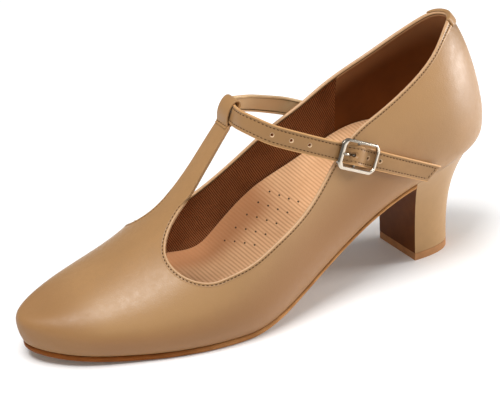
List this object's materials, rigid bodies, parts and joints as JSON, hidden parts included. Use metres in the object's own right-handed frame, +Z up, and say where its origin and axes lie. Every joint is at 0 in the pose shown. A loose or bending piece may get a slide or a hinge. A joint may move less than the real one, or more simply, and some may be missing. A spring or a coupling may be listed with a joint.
{
  "type": "latin dance shoe",
  "caption": "Dance shoe for the left foot with a T-bar, a buckled ankle strap threaded through its fold, a round toe, a covered block heel and a thin leather sole.",
  "frame": {"origin": "middle of the bounding box at floor height", "axes": "+X from toe to heel, +Y to the inner side of the foot, +Z up"},
  "size_m": [0.2497, 0.0853, 0.1192],
  "materials": {
    "tan_leather": "smooth, half gloss",
    "sole_leather": "stained edge, half matt",
    "ribbed_sock": "fine ribs across the foot, matt",
    "lift_rubber": "matt",
    "pale_gold_metal": "polished, pale"
  },
  "bodies": {
    "root": {"upper": "tan_leather", "ankle_strap": "tan_leather", "heel": "tan_leather", "outsole": "sole_leather", "insole": "ribbed_sock", "top_lift": "lift_rubber", "buckle_frame": "pale_gold_metal", "buckle_prong": "pale_gold_metal"}
  },
  "joints": []
}
